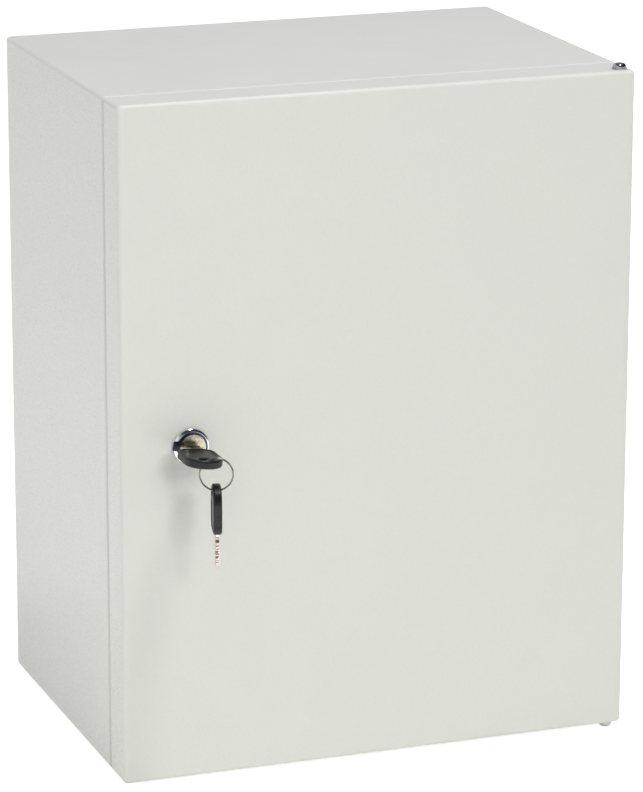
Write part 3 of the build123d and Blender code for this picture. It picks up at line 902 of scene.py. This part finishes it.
@dataclass
class Studio:
    """Floor, lamps, world and camera."""

    lamps: tuple[Lamp, ...] = (
        Lamp("key_lamp", (0.16, -2.1, 0.80), (-0.05, -0.2, -0.2), 0.4, 8.8),
        Lamp("edge_lamp", (0.34, -0.60, 2.0), (0.0, -0.2, -0.2), 0.34, 22.5, glints=True),
        Lamp("side_lamp", (-2.0, -0.2, 0.6), (-0.15, -0.2, 0.1), 1.0, 8.7),
        Lamp("low_lamp", (-0.45, -1.2, -0.04), (-0.16, -0.2, -0.3), 0.5, 1.9),
        Lamp("rear_lamp", (2.0, 1.3, 0.2), (0.1, -0.05, 0.0), 1.2, 18.0),
    )

    lens_pixels: float = 4057.45
    frame_height_pixels: float = 792.0
    sensor_mm: float = 36.0
    tilt: float = 0.2716
    roll: float = 0.0023
    pan: float = 0.3517
    from_box_middle: tuple[float, float, float] = (-0.0043036, 2.4167213, 0.0096328)
    half_depth: float = 0.110
    floor_level: float = -0.2010
    floor_half: float = 14.0
    world_light: float = 0.30
    floor_glow: float = 0.75
    dark_side: Xyz = (0.55, -0.25, 0.70)
    dark_share: float = 1.0
    dark_from: float = -0.05
    dark_full: float = 0.45
    dark_colour: Rgb = (0.045, 0.052, 0.072)
    white: Rgb = (1.0, 1.0, 1.0)
    floor_colour: Rgb = (0.9, 0.9, 0.9)

    def build_camera(self) -> None:
        """Set the camera where the picture was taken from."""
        pan = Matrix.Rotation(self.pan, 3, "Z")
        tilt = Matrix.Rotation(self.tilt, 3, "X")
        roll = Matrix.Rotation(self.roll, 3, "Y")
        turn = roll @ tilt @ pan
        place = turn.transposed() @ -Vector(self.from_box_middle) - Vector((0, self.half_depth, 0))
        right, ahead, up = turn[0], turn[1], turn[2]
        axes = Matrix((right, up, -ahead)).transposed()
        data = bpy.data.cameras.new("studio_camera")
        data.sensor_width = self.sensor_mm
        data.lens = self.lens_pixels / self.frame_height_pixels * self.sensor_mm
        camera = bpy.data.objects.new("studio_camera", data)
        camera.matrix_world = Matrix.Translation(place) @ axes.to_4x4()
        bpy.context.scene.collection.objects.link(camera)
        bpy.context.scene.camera = camera
        log.info("camera at %s with a %.1f mm lens", tuple(round(v, 3) for v in place), data.lens)

    @staticmethod
    def seen(paths: bpy.types.Node, bench: NodeBench) -> bpy.types.NodeSocket:
        """A mask of the rays that show a surface itself: camera, glossy and transmission rays.

        Args:
            paths: The material's or the world's Light Path node.
            bench: The bench that the node is on.

        Returns:
            The mask's socket, 1 for those rays and 0 for the rest.
        """
        direct = bench.math("MAXIMUM", paths.outputs["Is Camera Ray"], paths.outputs["Is Glossy Ray"])
        return bench.math("MAXIMUM", direct, paths.outputs["Is Transmission Ray"])

    def build_floor(self) -> None:
        """Lay a pale floor that shows white and keeps a faint shadow."""
        half, level = self.floor_half, self.floor_level
        mesh = bpy.data.meshes.new("studio_floor")
        corners = [(-half, -half, level), (half, -half, level), (half, half, level), (-half, half, level)]
        mesh.from_pydata(corners, [], [(0, 1, 2, 3)])
        material = bpy.data.materials.new("studio_floor_white")
        material.use_nodes = True
        material.node_tree.nodes.clear()
        bench = NodeBench(material.node_tree)
        matt = bench.add("ShaderNodeBsdfDiffuse", {"Color": self.floor_colour})
        strength = bench.math("MULTIPLY", self.seen(bench.add("ShaderNodeLightPath"), bench), self.floor_glow)
        glow = bench.add("ShaderNodeEmission", {"Color": self.white, "Strength": strength})
        both = bench.add("ShaderNodeAddShader", {0: matt.outputs[0], 1: glow.outputs[0]})
        bench.add("ShaderNodeOutputMaterial", {"Surface": both.outputs[0]})
        mesh.materials.append(material)
        floor = bpy.data.objects.new("studio_floor", mesh)
        bpy.context.scene.collection.objects.link(floor)

    def build_world(self) -> None:
        """Light everything softly, with a white background."""
        world = bpy.data.worlds.new("studio_world")
        bpy.context.scene.world = world
        world.use_nodes = True
        world.node_tree.nodes.clear()
        bench = NodeBench(world.node_tree)
        paths = bench.add("ShaderNodeLightPath")
        strength = bench.between(self.seen(paths, bench), 0.0, 1.0, self.world_light, 1.0)
        way = bench.add("ShaderNodeTexCoord").outputs["Generated"]
        facing = bench.add("ShaderNodeVectorMath", {0: way, 1: self.dark_side}, operation="DOT_PRODUCT")
        dark = bench.between(facing.outputs["Value"], self.dark_from, self.dark_full, 0.0, self.dark_share)
        dark = bench.math("MULTIPLY", dark, paths.outputs["Is Glossy Ray"])
        colour = bench.mix(dark, self.white, self.dark_colour)
        background = bench.add("ShaderNodeBackground", {"Color": colour, "Strength": strength})
        bench.add("ShaderNodeOutputWorld", {"Surface": background.outputs[0]})

    def build(self) -> None:
        """Build the whole studio."""
        self.build_camera()
        self.build_floor()
        self.build_world()
        for lamp in self.lamps:
            lamp.hang()
        bpy.context.scene.view_settings.view_transform = "Standard"


def main() -> None:
    """Build and dress every sub-assembly in order."""
    logging.basicConfig(level=logging.INFO, format="%(name)s: %(message)s")
    Cabinet().dress()
    Fittings().dress()
    door = Door()
    door.dress()
    door.build_seal()
    Lock().dress()
    Keys().dress()
    KeyRing().build()
    Studio().build()


if __name__ == "__main__":
    main()
